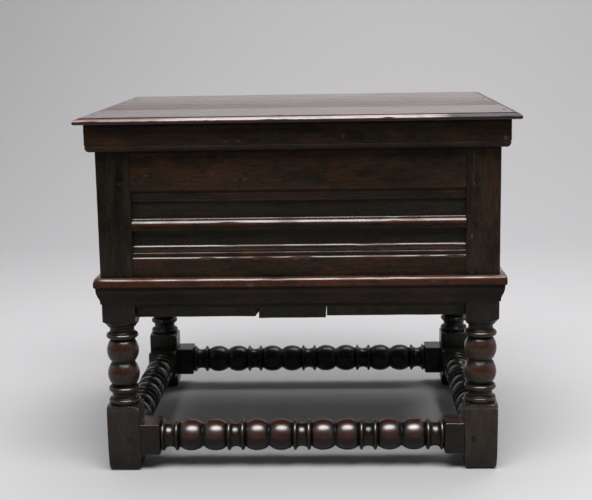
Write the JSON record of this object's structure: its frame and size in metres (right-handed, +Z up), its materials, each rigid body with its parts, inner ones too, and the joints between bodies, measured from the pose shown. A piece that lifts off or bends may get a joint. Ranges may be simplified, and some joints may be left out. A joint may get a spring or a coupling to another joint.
{
  "type": "box stool",
  "caption": "Joined oak box stool with a lid hinged at the back, a moulded panelled box, and bobbin-turned legs tied by bobbin-turned stretchers; a low seat with storage under it.",
  "frame": {"origin": "on the floor, under the middle of the whole stool's box", "axes": "+X to the right seen from the front, +Y from the front to the back where the lid is hinged, +Z up"},
  "size_m": [0.542, 0.444, 0.455],
  "materials": {
    "frame_oak": "dark waxed oak, worn",
    "panel_oak": "dark waxed oak, dull",
    "turned_oak": "dark red-brown waxed oak, polished by wear",
    "moulding_oak": "dark waxed oak, polished edges",
    "board_oak": "dark unpolished oak",
    "peg_oak": "dark waxed oak end grain",
    "lid_oak": "dark waxed oak, polished by use",
    "rim_oak": "dark waxed oak",
    "iron": "blackened wrought iron"
  },
  "bodies": {
    "box": {"front_left_post": "turned_oak", "front_right_post": "turned_oak", "back_right_post": "turned_oak", "back_left_post": "turned_oak", "front_top_rail": "frame_oak", "front_bottom_rail": "frame_oak", "right_top_rail": "frame_oak", "right_bottom_rail": "frame_oak", "back_top_rail": "frame_oak", "back_bottom_rail": "frame_oak", "left_top_rail": "frame_oak", "left_bottom_rail": "frame_oak", "front_panel_bar": "moulding_oak", "front_panel": "panel_oak", "right_panel": "panel_oak", "back_panel": "panel_oak", "left_panel": "panel_oak", "front_stretcher": "turned_oak", "right_stretcher": "turned_oak", "back_stretcher": "turned_oak", "left_stretcher": "turned_oak", "front_base_moulding": "moulding_oak", "right_base_moulding": "moulding_oak", "left_base_moulding": "moulding_oak", "left_bottom_board": "board_oak", "middle_bottom_board": "board_oak", "right_bottom_board": "board_oak", "left_hinge_staple": "iron", "right_hinge_staple": "iron", "front_top_rail_left_peg": "peg_oak", "front_top_rail_right_peg": "peg_oak", "front_panel_bar_left_peg": "peg_oak", "front_panel_bar_right_peg": "peg_oak", "front_bottom_rail_left_peg": "peg_oak", "front_bottom_rail_right_peg": "peg_oak", "right_top_rail_front_peg": "peg_oak", "right_top_rail_back_peg": "peg_oak", "right_bottom_rail_front_peg": "peg_oak", "right_bottom_rail_back_peg": "peg_oak", "left_top_rail_front_peg": "peg_oak", "left_top_rail_back_peg": "peg_oak", "left_bottom_rail_front_peg": "peg_oak", "left_bottom_rail_back_peg": "peg_oak", "front_stretcher_left_peg": "peg_oak", "front_stretcher_right_peg": "peg_oak", "right_stretcher_front_peg": "peg_oak", "right_stretcher_back_peg": "peg_oak", "back_stretcher_left_peg": "peg_oak", "back_stretcher_right_peg": "peg_oak", "left_stretcher_front_peg": "peg_oak", "left_stretcher_back_peg": "peg_oak"},
    "lid": {"front_lid_board": "lid_oak", "back_lid_board": "lid_oak", "front_lid_rim": "rim_oak", "right_lid_rim": "rim_oak", "left_lid_rim": "rim_oak", "left_hinge_eye": "iron", "right_hinge_eye": "iron"}
  },
  "joints": [
    {"name": "lid_hinge", "type": "hinge", "parent": "box", "child": "lid", "pos_m": [0, 0.216, 0.4415], "axis": [-1, 0, 0], "range_deg": [0, 100]}
  ]
}
